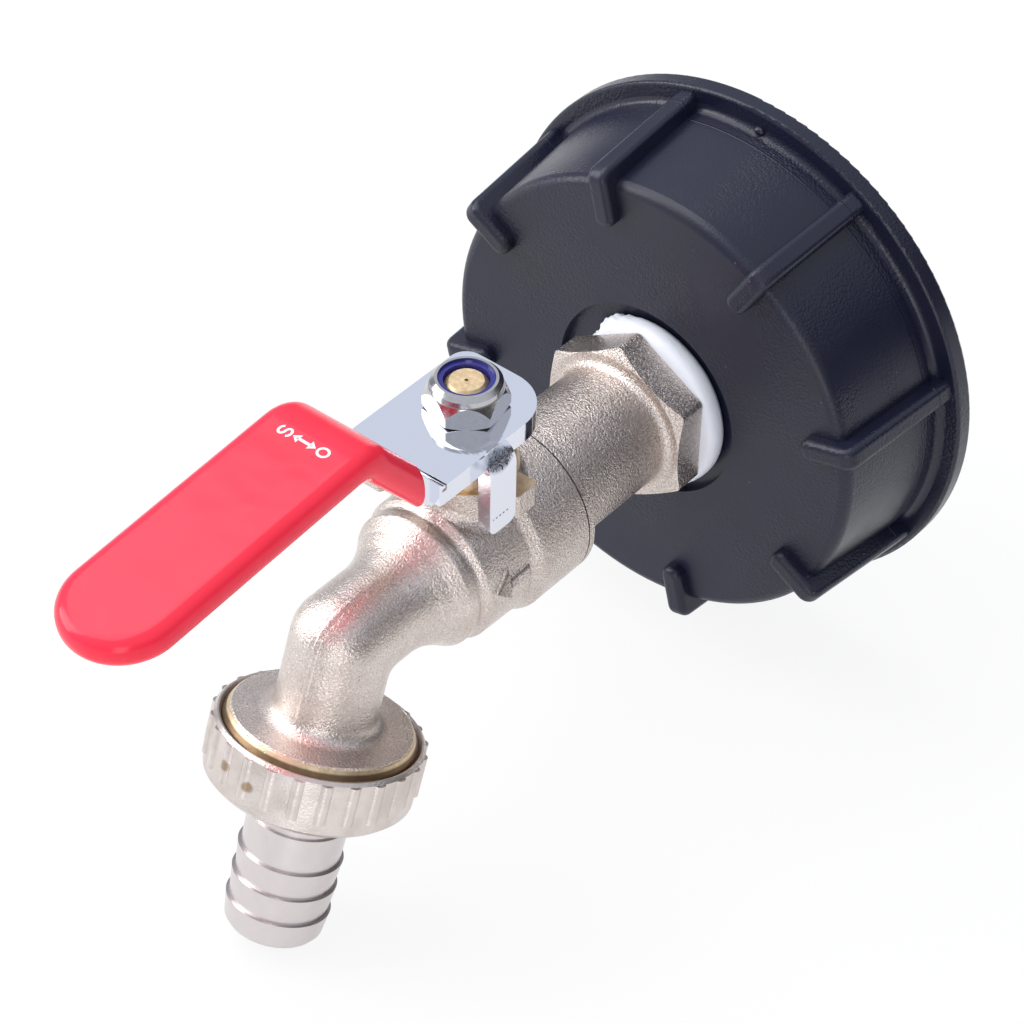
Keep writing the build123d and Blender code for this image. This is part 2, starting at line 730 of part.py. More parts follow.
def swivel_nut():
    thread_r = UNION_THREAD_R + RUNNING_FIT
    outer = union_outer_r
    shell = turned(
        [
            (thread_r + UNION_BEVEL, UNION_TOP),
            (outer - UNION_BEVEL, UNION_TOP),
            (outer, UNION_TOP + UNION_BEVEL),
            (outer, union_bottom - UNION_END_BEVEL),
            (outer - UNION_END_BEVEL, union_bottom),
            (TAIL_NECK_R + RUNNING_FIT, union_bottom),
            (TAIL_NECK_R + RUNNING_FIT, collar_bottom + RUNNING_FIT),
            (thread_r, collar_bottom + RUNNING_FIT),
            (thread_r, UNION_TOP + UNION_BEVEL),
        ]
    )
    rib = Cylinder(UNION_RIB_R, UNION_RIB_LENGTH, align=(Align.CENTER, Align.CENTER, Align.MIN))
    rib = Pos(outer + UNION_RIB_T - UNION_RIB_R, 0, UNION_TOP + UNION_RIB_START) * rib
    for index in range(UNION_RIB_COUNT):
        turn = Rot(0, 0, index * 360 / UNION_RIB_COUNT)
        shell += turn * rib
    threaded = Cylinder(
        thread_r, collar_bottom + RUNNING_FIT, align=(Align.CENTER, Align.CENTER, Align.MIN)
    )
    return outlet_plane * (shell - threaded)


def hose_gasket():
    return outlet_plane * ring(SPOUT_BORE_R, tail_collar_r, HOSE_GASKET_T, thread_face)


def hose_tail():
    outline = [
        (TAIL_BORE_R, collar_top),
        (tail_collar_r, collar_top),
        (tail_collar_r, collar_bottom),
        (TAIL_NECK_R, collar_bottom),
        (TAIL_NECK_R, TAIL_LAND_START),
        (BARB_ROOT_R + TAIL_LAND_DRAFT, TAIL_LAND_START),
    ]
    step = TAIL_LAND_START + TAIL_LAND_LENGTH
    outline.append((BARB_ROOT_R, step))
    for index in range(BARB_COUNT):
        outline.append((BARB_R, step))
        step += BARB_PITCH
        outline.append((BARB_ROOT_R, step))
    outline[-1] = (BARB_ROOT_R, step - TAIL_END_CHAMFER)
    outline.append((BARB_ROOT_R - TAIL_END_FALL, step))
    outline.append((TAIL_BORE_R, step))
    return outlet_plane * turned(outline)


PARTS = {
    "cap_shell": cap_shell,
    "cap_gasket": cap_gasket,
    "seal_ring": seal_ring,
    "thread_tape": thread_tape,
    "inlet_connector": inlet_connector,
    "joint_seal": joint_seal,
    "valve_body": valve_body,
    "inlet_seat": lambda: seat(1),
    "outlet_seat": lambda: seat(-1),
    "ball": tank_ball,
    "stem": stem,
    "thrust_washer": thrust_washer,
    "stem_oring_lower": lambda: stem_oring(oring_heights()[0]),
    "stem_oring_upper": lambda: stem_oring(oring_heights()[1]),
    "lever_plate": lever_plate,
    "lever_sleeve": lever_sleeve,
    "lock_nut": lock_nut,
    "nylon_insert": nylon_insert,
    "swivel_nut": swivel_nut,
    "hose_gasket": hose_gasket,
    "hose_tail": hose_tail,
}

for node, make in PARTS.items():
    shape = make()
    shape.label = node
    export_step(shape, f"parts/{node}.step")
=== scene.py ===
"""Looks of the tank valve: a black cap, a nickel-plated ball tap, a red lever and a hose tail."""

import random
from math import atan2, cos, pi, radians, sin

import bmesh
import bpy
from mathutils import Matrix, Vector, noise
from mathutils.bvhtree import BVHTree


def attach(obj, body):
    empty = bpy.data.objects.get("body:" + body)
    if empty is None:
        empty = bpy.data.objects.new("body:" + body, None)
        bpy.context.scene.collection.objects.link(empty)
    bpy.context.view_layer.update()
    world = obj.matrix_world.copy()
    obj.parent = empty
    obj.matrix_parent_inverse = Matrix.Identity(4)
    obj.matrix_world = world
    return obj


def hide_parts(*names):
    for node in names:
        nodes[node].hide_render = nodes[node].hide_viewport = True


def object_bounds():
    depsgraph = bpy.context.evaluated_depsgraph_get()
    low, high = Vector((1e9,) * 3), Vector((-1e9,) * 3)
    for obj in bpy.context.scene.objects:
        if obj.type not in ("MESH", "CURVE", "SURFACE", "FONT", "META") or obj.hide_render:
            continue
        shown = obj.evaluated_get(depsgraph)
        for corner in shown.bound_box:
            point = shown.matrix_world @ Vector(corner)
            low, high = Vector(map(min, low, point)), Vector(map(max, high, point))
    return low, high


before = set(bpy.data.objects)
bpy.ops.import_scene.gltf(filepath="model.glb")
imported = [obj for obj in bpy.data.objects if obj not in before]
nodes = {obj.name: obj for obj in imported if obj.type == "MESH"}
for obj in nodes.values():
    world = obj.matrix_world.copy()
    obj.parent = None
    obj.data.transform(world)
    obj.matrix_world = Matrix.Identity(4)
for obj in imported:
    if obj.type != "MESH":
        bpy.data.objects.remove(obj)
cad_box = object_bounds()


# Camera: a long lens from the front right, above the lever, as a product is photographed on
# a table. The picture is a 36 mm wide square. Sizes are in millimetres, and MM makes metres.
MM = 0.001
CAMERA_PLACE = Vector((202.4, -301.1, 289.25)) * MM
CAMERA_TARGET = Vector((0.0, -51.67, -1.5)) * MM
CAMERA_ROLL = radians(1.046)
CAMERA_LENS = 111.64
SENSOR_WIDTH = 36.0

scene = bpy.context.scene
camera = bpy.data.objects.new("camera", bpy.data.cameras.new("camera"))
scene.collection.objects.link(camera)
camera.data.sensor_width = SENSOR_WIDTH
camera.data.lens = CAMERA_LENS
camera.data.clip_start = 0.01
camera.data.clip_end = 10.0
aim = (CAMERA_TARGET - CAMERA_PLACE).to_track_quat("-Z", "Y").to_matrix().to_4x4()
camera.matrix_world = Matrix.Translation(CAMERA_PLACE) @ aim @ Matrix.Rotation(CAMERA_ROLL, 4, "Z")
scene.camera = camera


# Table and light: a white table under a big overhead softbox, with soft panels beside it.
# The table shows white to the camera and in polish, and keeps a faint shadow. The room
# behind and right of the camera is dark at eye level, which gives the metal its dark bands.
TABLE_SIZE = 6.0
SHADOW_SHARE = 0.12
TABLE_MIRRORED = 0.8
TABLE_GAP = 0.1
ROOM_LOW = (0.46, 0.48, 0.53)
ROOM_HIGH = (0.76, 0.80, 0.89)
ROOM_DARK = (0.075, 0.070, 0.070)
DARK_SIDE = (0.85, 0.40, 0.0)
SOFTBOXES = [
    ("overhead", (-0.30, -0.10, 0.75), (0.8, 0.6), 4.0),
    ("left_panel", (-0.70, -0.45, 0.40), (0.5, 0.6), 5.0),
    ("right_panel", (0.45, -0.75, 0.20), (0.3, 0.5), 1.6),
]


class Field:
    """A socket of a material or the room, so that shader maths is written as plain sums."""

    def __init__(self, socket):
        self.socket = socket

    def node(self, kind, settings=None, inputs=None, output=0):
        """Adds a node of a kind, sets it up, feeds its sockets and gives one of its outputs."""
        tree = self.socket.id_data
        node = tree.nodes.new("ShaderNode" + kind)
        for name, setting in (settings or {}).items():
            setattr(node, name, setting)
        for name, value in (inputs or {}).items():
            if isinstance(value, Field):
                tree.links.new(value.socket, node.inputs[name])
            else:
                node.inputs[name].default_value = value
        return Field(node.outputs[output])

    def math(self, operation, a, b=0.0):
        return self.node("Math", {"operation": operation}, {0: a, 1: b})

    def __add__(self, other):
        return self.math("ADD", self, other)

    def __sub__(self, other):
        return self.math("SUBTRACT", self, other)

    def __rsub__(self, other):
        return self.math("SUBTRACT", other, self)

    def __mul__(self, other):
        return self.math("MULTIPLY", self, other)

    __radd__ = __add__
    __rmul__ = __mul__

    def __abs__(self):
        return self.math("ABSOLUTE", self)

    def root(self):
        return self.math("SQRT", self)

    def wave(self):
        return self.math("SINE", self)

    def at_most(self, limit):
        return self.math("MINIMUM", self, limit)

    def above(self, low, high):
        """0 below low, 1 above high, and a smooth rise between them."""
        ends = {"From Min": low, "From Max": high, "Value": self}
        return self.node("MapRange", {"interpolation_type": "SMOOTHSTEP"}, ends)

    def choose(self, off, on):
        """A colour that goes from off to on as this mask goes from 0 to 1."""
        off, on = [(*c, 1.0) if isinstance(c, tuple) else c for c in (off, on)]
        return self.node("Mix", {"data_type": "RGBA"}, {0: self, 6: off, 7: on}, 2)

    def parts(self):
        return [self.node("SeparateXYZ", inputs={0: self}, output=i) for i in range(3)]

    def grain(self, size, detail=2.0, rough=0.5):
        """Noise whose grains are about size millimetres across."""
        values = {"Vector": self, "Scale": 1.0 / size, "Detail": detail, "Roughness": rough}
        return self.node("TexNoise", inputs=values)

    def cells(self, size):
        """How far the place lies from the nearest of points about size millimetres apart."""
        return self.node("TexVoronoi", inputs={"Vector": self, "Scale": 1.0 / size})

    def stretched(self, x, y, z):
        """The same place with each axis multiplied."""
        return self.node("VectorMath", {"operation": "MULTIPLY"}, {0: self, 1: (x, y, z)})

    def distance(self, point):
        return self.node("VectorMath", {"operation": "DISTANCE"}, {0: self, 1: point}, "Value")

    def along(self, direction):
        """How far the place lies along a direction."""
        return self.node("VectorMath", {"operation": "DOT_PRODUCT"}, {0: self, 1: direction}, "Value")


def finish(name):
    """A new material's tree, as the place on the surface in millimetres."""
    material = bpy.data.materials.new(name)
    material.use_nodes = True
    material.node_tree.nodes.clear()
    here = Field(material.node_tree.nodes.new("ShaderNodeTexCoord").outputs["Object"])
    return here.node("VectorMath", {"operation": "SCALE"}, {0: here, "Scale": 1.0 / MM})


table_mesh = bpy.data.meshes.new("table")
half = TABLE_SIZE / 2
floor_z = cad_box[0][2] - TABLE_GAP * MM
corners = [(-half, -half, floor_z), (half, -half, floor_z), (half, half, floor_z), (-half, half, floor_z)]
table_mesh.from_pydata(corners, [], [(0, 1, 2, 3)])
table = bpy.data.objects.new("table", table_mesh)
scene.collection.objects.link(table)

place = finish("table_white")
tree = place.socket.id_data
lit = place.node("BsdfPrincipled", inputs={"Base Color": (0.86, 0.86, 0.86, 1.0), "Roughness": 0.9})
white = place.node("Emission", inputs={"Color": (1.0, 1.0, 1.0, 1.0), "Strength": 1.0})
seen = place.node("LightPath", output="Is Camera Ray")
mirrored = place.node("LightPath", output="Is Glossy Ray")
share = (seen + mirrored * TABLE_MIRRORED) * (1.0 - SHADOW_SHARE)
mixed = place.node("MixShader", inputs={0: share, 1: lit, 2: white})
output = tree.nodes.new("ShaderNodeOutputMaterial")
tree.links.new(mixed.socket, output.inputs["Surface"])
table_mesh.materials.append(bpy.data.materials["table_white"])

for name, spot, size, power in SOFTBOXES:
    lamp = bpy.data.lights.new(name, "AREA")
    lamp.shape = "RECTANGLE"
    lamp.size, lamp.size_y = size
    lamp.energy = power
    box = bpy.data.objects.new(name, lamp)
    scene.collection.objects.link(box)
    box.location = spot
    box.rotation_mode = "QUATERNION"
    box.rotation_quaternion = (CAMERA_TARGET - Vector(spot)).to_track_quat("-Z", "Y")

world = bpy.data.worlds.new("studio")
scene.world = world
world.use_nodes = True
world.node_tree.nodes.clear()
facing = Field(world.node_tree.nodes.new("ShaderNodeTexCoord").outputs["Generated"])
height = facing.parts()[2]
room = height.above(0.0, 0.65).choose(ROOM_LOW, ROOM_HIGH)
low = height.above(-0.05, 0.08) * (1.0 - height.above(0.30, 0.64))
side = facing.along(DARK_SIDE).above(-0.45, 0.55)
dark = low * (0.32 + side * 0.66)
room = dark.choose(room, ROOM_DARK)
seen = facing.node("LightPath", output="Is Camera Ray")
sky = facing.node("Background", inputs={"Color": seen.choose(room, (1.0, 1.0, 1.0))})
output = world.node_tree.nodes.new("ShaderNodeOutputWorld")
world.node_tree.links.new(sky.socket, output.inputs["Surface"])
scene.view_settings.view_transform = "Standard"


# Tank cap: black moulded plastic, 80 mm across, semi-gloss, with a leathery grain. It has a
# fine mould line round the wall, a small pip by the flange, and a coarse thread inside of
# nearly two turns, drawn within the plain bore of the solid.
CAP_COLOUR = (0.0080, 0.0095, 0.0250)
# The lighter patch colour on the face: a moulding bloom with a painted sheen in it.
CAP_BLOOM_AND_SHEEN = (0.0140, 0.0135, 0.0210)
CAP_SPECK = (0.16, 0.16, 0.17)
CAP_FACE_Y = -21.9
MOULD_LINE_Y = -5.6
PIP_PLACE = (3.0, -3.2, 37.2)
PIP_R = 0.9
THREAD_BORE_R = 30.0
THREAD_RIDGE = 1.4
THREAD_PITCH = 5.0
THREAD_START = -1.2
THREAD_END = -9.0
STEPS_PER_TURN = 120


def close(place, objects, height=None, **sockets):
    """Ends a finish in one Principled shader and puts it on the objects. Height is in mm."""
    inputs = {name.replace("_", " "): value for name, value in sockets.items()}
    if height is not None:
        inputs["Normal"] = place.node("Bump", inputs={"Height": height, "Distance": MM})
    for name, value in inputs.items():
        if isinstance(value, tuple):
            inputs[name] = (*value, 1.0)
    shader = place.node("BsdfPrincipled", inputs=inputs)
    tree = place.socket.id_data
    output = tree.nodes.new("ShaderNodeOutputMaterial")
    tree.links.new(shader.socket, output.inputs["Surface"])
    material = [m for m in bpy.data.materials if m.node_tree == tree][0]
    for thing in objects:
        thing.data.materials.clear()
        thing.data.materials.append(material)


def shaped(name, form, body, sharp=40):
    """The finished form as a smooth object that rides a body."""
    mesh = bpy.data.meshes.new(name)
    bmesh.ops.recalc_face_normals(form, faces=form.faces)
    form.to_mesh(mesh)
    form.free()
    mesh.shade_smooth()
    mesh.set_sharp_from_angle(angle=radians(sharp))
    thing = bpy.data.objects.new(name, mesh)
    scene.collection.objects.link(thing)
    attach(thing, body)
    return thing


def skinned(form, loops, closed=False):
    """Faces between rows of points in millimetres, closed round where asked."""
    rows = [[form.verts.new(Vector(point) * MM) for point in loop] for loop in loops]
    for back, front in zip(rows, rows[1:] + (rows[:1] if closed else [])):
        for i in range(len(back) - 1):
            form.faces.new((back[i], back[i + 1], front[i + 1], front[i]))
    return rows


cap = nodes["cap_shell"]
place = finish("cap_plastic")
x, y, z = place.parts()
on_face = 1.0 - y.above(CAP_FACE_Y, CAP_FACE_Y + 1.4)
patch = place.grain(13.0, 1.0).above(0.42, 0.60)
leather = (1.0 - place.cells(0.42)) * (0.010 + patch * 0.040)
leather = leather + place.grain(0.26, 2.0, 0.6) * (0.010 + patch * 0.022)
mould_line = 1.0 - abs(y - MOULD_LINE_Y).above(0.04, 0.16)
flow = place.grain(8.0, 2.0, 0.5)
polish = 0.20 + flow * 0.16 + on_face * 0.10
bloom = place.grain(16.0, 2.0, 0.5).above(0.45, 0.70)
specks = (1.0 - place.cells(3.1).above(0.030, 0.055)) * place.grain(5.0).above(0.50, 0.60)
# Lighter patches on the face: partly moulding bloom, partly a painted sheen.
colour = (bloom * on_face * 0.6).choose(CAP_COLOUR, CAP_BLOOM_AND_SHEEN)
colour = (specks * 0.5).choose(colour, CAP_SPECK)
relief = leather + mould_line * 0.05
close(place, [cap], height=relief, Base_Color=colour, Roughness=polish, Specular_IOR_Level=0.42)

form = bmesh.new()
turns = (THREAD_START - THREAD_END - THREAD_PITCH * 0.4) / THREAD_PITCH
steps = int(turns * STEPS_PER_TURN)
loops = []
for step in range(steps + 1):
    turn = step / STEPS_PER_TURN
    rise = min(1.0, 12.0 * step / steps, 12.0 * (steps - step) / steps)
    middle = THREAD_START - THREAD_PITCH * (0.2 + turn)
    crest_r = THREAD_BORE_R - THREAD_RIDGE * rise
    angle = 2 * pi * turn
    flanks = [(THREAD_BORE_R + 0.1, 0.18), (crest_r + 0.15, 0.11), (crest_r, 0.06)]
    flanks += [(crest_r, -0.10), (crest_r + 0.15, -0.15), (THREAD_BORE_R + 0.1, -0.31)]
    loops.append([(r * cos(angle), middle + h * THREAD_PITCH, r * sin(angle)) for r, h in flanks])
rows = skinned(form, loops)
form.faces.new(rows[0])
form.faces.new(rows[-1])
cap_thread = shaped("cap_thread", form, "valve")
form = bmesh.new()
bmesh.ops.create_uvsphere(form, u_segments=20, v_segments=10, radius=PIP_R * MM)
bmesh.ops.scale(form, vec=(1.0, 0.7, 0.7), verts=form.verts)
bmesh.ops.translate(form, vec=Vector(PIP_PLACE) * MM, verts=form.verts)
pip = shaped("cap_pip", form, "valve")
for moulded in (cap_thread, pip):
    moulded.data.materials.append(cap.data.materials[0])


# Gaskets and hidden seals: plain black rubber rings with a matt bloom, and pale plastic
# rings round the ball.
place = finish("black_rubber")
bloom = place.grain(1.2, 3.0, 0.6)
rubber = bloom.above(0.35, 0.8).choose((0.012, 0.012, 0.012), (0.03, 0.03, 0.029))
ring_names = ["cap_gasket", "hose_gasket", "joint_seal", "stem_oring_lower", "stem_oring_upper"]
rings = [nodes[name] for name in ring_names]
close(place, rings, height=place.grain(0.12) * 0.004, Base_Color=rubber, Roughness=0.62 + bloom * 0.15)

place = finish("seat_plastic")
seats = [nodes[name] for name in ("inlet_seat", "outlet_seat", "thrust_washer")]
milky = place.grain(2.0, 2.0).choose((0.80, 0.80, 0.79), (0.87, 0.87, 0.86))
polish = 0.38 + place.grain(1.0) * 0.1
close(place, seats, height=place.grain(0.2) * 0.002, Base_Color=milky, Roughness=polish)

place = finish("seal_tape")
strands = place.stretched(1.0, 0.25, 1.0).grain(0.3, 3.0, 0.6)
tape_colour = strands.choose((0.78, 0.79, 0.82), (0.90, 0.91, 0.94))
polish = 0.5 + strands * 0.1
close(place, [nodes["thread_tape"]], height=strands * 0.03, Base_Color=tape_colour, Roughness=polish)


# White seal: a soft ring squeezed between the hexagon and the cap's recess. It bulges into
# a smooth dome, and at the upper left it is folded, torn and drawn in.
SEAL_BACK = -20.92
SEAL_FRONT = -24.48
SEAL_INNER_R = 10.5
SEAL_OUTER_R = 13.8
SEAL_STEPS = 240
SEAL_ROWS = 14
TEAR_ANGLE = radians(152)
TEAR_HALF_WIDTH = radians(33)
TEAR_DEPTH = 2.3
FOLD_ANGLE = radians(116)
FOLD_HALF_WIDTH = radians(20)
SEAL_SPECK = (12.1, -22.8, -4.6)

random.seed(8)
folds = [(n, random.uniform(0, 2 * pi), 0.10 / n ** 0.5) for n in (2, 3, 5, 7)]
form = bmesh.new()
loops = []
for step in range(SEAL_STEPS):
    angle = 2 * pi * step / SEAL_STEPS
    sway = sum(size * sin(n * angle + start) for n, start, size in folds)
    near = 1.0 - abs((angle - TEAR_ANGLE + pi) % (2 * pi) - pi) / TEAR_HALF_WIDTH
    torn = min(1.0, 2.2 * max(0.0, near))
    rag = 0.30 * sin(34 * angle) + 0.20 * sin(57 * angle + 1.0)
    folded = max(0.0, 1.0 - abs(angle - FOLD_ANGLE) / FOLD_HALF_WIDTH)
    outer = SEAL_OUTER_R - 0.10 - abs(sway) - torn * (TEAR_DEPTH + rag)
    outer -= folded * (0.22 + 0.20 * sin(43 * angle))
    depth = SEAL_BACK - SEAL_FRONT
    section = [(SEAL_INNER_R, SEAL_BACK)]
    for j in range(SEAL_ROWS + 1):
        turn = pi * j / SEAL_ROWS
        bulge = sin(turn) ** 0.5
        crease = (0.16 * torn + 0.14 * folded) * sin(23 * angle + 2.1 * j)
        r = SEAL_INNER_R + 0.6 + (outer - SEAL_INNER_R - 0.6) * bulge + crease * bulge
        section.append((r, SEAL_BACK - depth * (0.5 - 0.5 * cos(turn))))
    section += [(SEAL_INNER_R, SEAL_FRONT), (SEAL_INNER_R, SEAL_BACK)]
    loops.append([(r * cos(angle), h, r * sin(angle)) for r, h in section])
skinned(form, loops, closed=True)
bmesh.ops.remove_doubles(form, verts=form.verts, dist=1e-7)
seal = shaped("white_seal", form, "valve", 60)
place = finish("white_seal")
wrinkle = place.stretched(1.0, 2.5, 1.0).grain(1.4, 2.0, 0.5)
milky = place.grain(4.0, 2.0).choose((0.74, 0.755, 0.81), (0.84, 0.85, 0.90))
speck = 1.0 - place.distance(SEAL_SPECK).above(0.15, 0.32)
milky = speck.choose(milky, (0.25, 0.22, 0.20))
close(place, [seal], height=wrinkle * 0.05, Base_Color=milky, Roughness=0.34 + wrinkle * 0.14)
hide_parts("seal_ring")


# Connector and valve body: cast brass, blasted and nickel plated, warm grey with a sparkling
# grain, whose sparkle is partly painted glints and painted shade in the colour. The lug tops,
# the collar and the outlet disc's worn rim show brass. A seam and a groove run round where the
# two castings meet, darkened with painted shade. Painted shade also darkens the pits and the
# flow arrow's flanks, and painted light brightens the spout's left half.
NICKEL = (0.76, 0.675, 0.625)
NICKEL_DULL = (0.64, 0.555, 0.505)
BRASS = (0.76, 0.585, 0.39)
BRASS_DULL = (0.60, 0.45, 0.28)
# Painted shade for the seam between the castings and the groove beside it.
CREVICE_SHADE = (0.10, 0.085, 0.075)
TARNISH = (0.10, 0.055, 0.025)
STEM_Y = -61.4
NECK_TOP = 14.5
OUTLET = Vector((0.0, -90.42, -11.62))
OUTLET_DIRECTION = Vector((0.0, -0.34857, -0.93728))
DISC_R = 12.5
SEAM_Y = -48.5
GROOVE_Y = -50.0
SPOUT_Y = -78.0
BLASTED_Y = -70.0
# Where painted shade darkens the flow arrow's sloping flanks.
ARROW_SHADE_R = (11.12, 11.56)
ARROW_SHADE_X = 7.5
ARROW_SPAN = (-68.9, -60.9)

place = finish("nickel_cast")
x, y, z = place.parts()
sand = place.grain(0.31, 2.0, 0.62)
dust = place.grain(0.12, 1.0)
grain_shade = place.grain(0.24, 2.0, 0.7)
pits = 1.0 - place.cells(0.9).above(0.05, 0.22)
swell = place.grain(4.0, 1.0)
drop = place.along(tuple(OUTLET_DIRECTION)) - OUTLET.dot(OUTLET_DIRECTION)
reach = place.distance(tuple(OUTLET))
outlet_r = (reach * reach - drop * drop).root()
ragged = place.grain(1.1, 3.0, 0.6)
rim = (outlet_r + ragged * 1.0).above(DISC_R + 0.28, DISC_R + 0.42) * drop.above(-1.2, -0.9)
from_stem = place.stretched(1.0, 1.0, 0.0).distance((0.0, STEM_Y, 0.0))
cut = z.above(NECK_TOP - 0.12, NECK_TOP - 0.04)
bare = (rim + cut).at_most(1.0)
lit_left_half = 1.0 - x.above(0.7, 1.3)
spout = 1.0 - y.above(SPOUT_Y, SPOUT_Y + 1.5)
tone = place.grain(5.0, 2.0, 0.5).above(0.30, 0.70)
# Random tone, and painted light that makes the spout's left half lighter than its right.
shade = (tone * 0.6 + lit_left_half * spout * 0.4).choose(NICKEL_DULL, NICKEL)
coarse = y.above(BLASTED_Y, BLASTED_Y + 7.0)
# Dark specks in the grain, denser on the coarse band: painted shade of the blasted grain.
shade = ((1.0 - grain_shade.above(0.40, 0.52)) * (0.32 + coarse * 0.16)).choose(shade, (0.30, 0.25, 0.22))
# Bright specks where the sand grain is high: painted glints.
shade = (sand.above(0.54, 0.68) * 0.60).choose(shade, (0.92, 0.87, 0.84))
# Dark spots at the pits in ragged patches: painted shade in the small dents.
shade = (pits * ragged.above(0.50, 0.62) * 0.7).choose(shade, (0.12, 0.09, 0.07))
worn = ragged.above(0.30, 0.62).choose(BRASS_DULL, BRASS)
shade = bare.choose(shade, worn)
shade = (drop.above(0.30, 0.60) * rim * 0.85).choose(shade, TARNISH)
from_pipe = place.stretched(1.0, 0.0, 1.0).distance((0.0, 0.0, 0.0))
# Painted shade along the flow arrow's sloping flanks, darkening its outline on the body.
low, high = ARROW_SHADE_R
arrow_shade = from_pipe.above(low, low + 0.10) * (1.0 - from_pipe.above(high - 0.18, high))
tip, tail = ARROW_SPAN
arrow_shade = arrow_shade * x.above(ARROW_SHADE_X, ARROW_SHADE_X + 0.5)
arrow_shade = arrow_shade * y.above(tip, tip + 0.3) * (1.0 - y.above(tail - 0.2, tail))
shade = (arrow_shade * 0.75).choose(shade, (0.16, 0.13, 0.11))
# Painted shade in the gap where the connector meets the body, and in the groove beside it.
seam_shade = 1.0 - abs(y - SEAM_Y).above(0.05, 0.15)
groove_shade = (1.0 - abs(y - GROOVE_Y).above(0.07, 0.17)) * from_pipe.above(11.0, 11.5)
shade = ((seam_shade + groove_shade) * 0.8).choose(shade, CREVICE_SHADE)
relief = (sand * (0.125 + coarse * 0.060) + dust * 0.020) * (1.0 - bare * 0.88) + swell * 0.05 - pits * 0.02
polish = 0.22 - coarse * 0.03 + sand * 0.10 + (1.0 - tone) * 0.05 + bare * 0.10
castings = [nodes["valve_body"], nodes["inlet_connector"]]
close(place, castings, height=relief, Base_Color=shade, Metallic=1.0, Roughness=polish)
cast_metal = nodes["valve_body"].data.materials[0]

# Soft cast root where the neck stands on the body.
BODY_PROFILE = [(-48.5, 12.2), (-59.2, 12.2), (-60.7, 11.1), (-68.7, 10.9), (-69.8, 10.0), (-72.0, 10.2)]
NECK_R = 7.1
NECK_FLARE = 0.4
ROOT_REACH = 1.5
ROOT_STEPS = 120
ROOT_ROWS = 10


def body_radius(y):
    """The cast body's radius at a place along the pipe."""
    for (y1, r1), (y2, r2) in zip(BODY_PROFILE, BODY_PROFILE[1:]):
        if y >= y2:
            return r1 + (r2 - r1) * (y1 - y) / (y1 - y2)
    return BODY_PROFILE[-1][1]


def on_body(x, y, lift=0.0):
    return (x, y, (max(body_radius(y) ** 2 - x * x, 0.0)) ** 0.5 + lift)


def soft_corner(start, corner, end):
    """Points of a cast fillet that runs from start to end and bends at the corner."""
    shares = [k / ROOT_ROWS for k in range(ROOT_ROWS + 1)]
    return [start * (1 - t) ** 2 + corner * 2 * t * (1 - t) + end * t * t for t in shares]


form = bmesh.new()
loops = []
for step in range(ROOT_STEPS + 1):
    angle = 2 * pi * step / ROOT_STEPS
    out = (cos(angle), sin(angle))
    neck_r = NECK_R + NECK_FLARE * 0.35
    corner = Vector(on_body(neck_r * out[0], STEM_Y + neck_r * out[1]))
    reach_r = neck_r + ROOT_REACH
    foot = Vector(on_body(reach_r * out[0], STEM_Y + reach_r * out[1], -0.03))
    wall = corner + Vector((-0.12 * out[0], -0.12 * out[1], ROOT_REACH))
    loops.append([tuple(point) for point in soft_corner(wall, corner, foot)])
skinned(form, loops)
bmesh.ops.remove_doubles(form, verts=form.verts, dist=1e-7)
neck_root = shaped("neck_root", form, "valve", 80)

# Soft cast root where the spout leaves the body's necked end.
SPOUT_ROOT = [(-75.0, 8.06), (-76.7, 7.10), (-79.2, 6.98)]
SPOUT_ROOT_PROUD = 0.03

outline = soft_corner(*[Vector(point) for point in SPOUT_ROOT])
outline = [(y, r + SPOUT_ROOT_PROUD * sin(pi * k / ROOT_ROWS)) for k, (y, r) in enumerate(outline)]
form = bmesh.new()
loops = []
for step in range(ROOT_STEPS + 1):
    angle = 2 * pi * step / ROOT_STEPS
    loops.append([(r * cos(angle), y, r * sin(angle)) for y, r in outline])
skinned(form, loops)
bmesh.ops.remove_doubles(form, verts=form.verts, dist=1e-7)
spout_root = shaped("spout_root", form, "valve", 80)

# Parting ridge: where the two halves of the mould met, along the spout's top, over the
# elbow and down the front of the leg.
ELBOW = Vector((0.0, -86.1, 0.0))
SPOUT_R = 7.0
RIDGE_X = 1.0
RIDGE_HALF = 0.55
RIDGE_RISE = 0.15
RIDGE_START = 6.0
RIDGE_DROP = 9.6

front = Vector((0.0, OUTLET_DIRECTION.z, -OUTLET_DIRECTION.y))
bend = atan2(-front.y, front.z)
upward = Vector((0.0, 0.0, 1.0))
track = [(ELBOW + Vector((0.0, RIDGE_START * (1 - k / 20), 0.0)), upward) for k in range(20)]
track += [(ELBOW, Vector((0.0, -sin(bend * k / 16), cos(bend * k / 16)))) for k in range(17)]
track += [(ELBOW + OUTLET_DIRECTION * RIDGE_DROP * k / 20, front) for k in range(1, 21)]
form = bmesh.new()
loops = []
for index, (middle, up) in enumerate(track):
    fade = min(1.0, index / 4, (len(track) - 1 - index) / 4)
    row = []
    for k in range(9):
        t = k / 4 - 1
        uneven = 0.7 + 0.5 * noise.noise(Vector((index * 0.3, t, 0.0)))
        rise = RIDGE_RISE * fade * uneven * (1 - t * t) - 0.03 * (abs(t) > 0.9)
        across = RIDGE_X + t * RIDGE_HALF
        out = (SPOUT_R ** 2 - across ** 2) ** 0.5 + rise
        row.append(tuple(middle + Vector((across, 0, 0)) + up * out))
    loops.append(row)
skinned(form, loops)
parting_ridge = shaped("parting_ridge", form, "valve", 80)

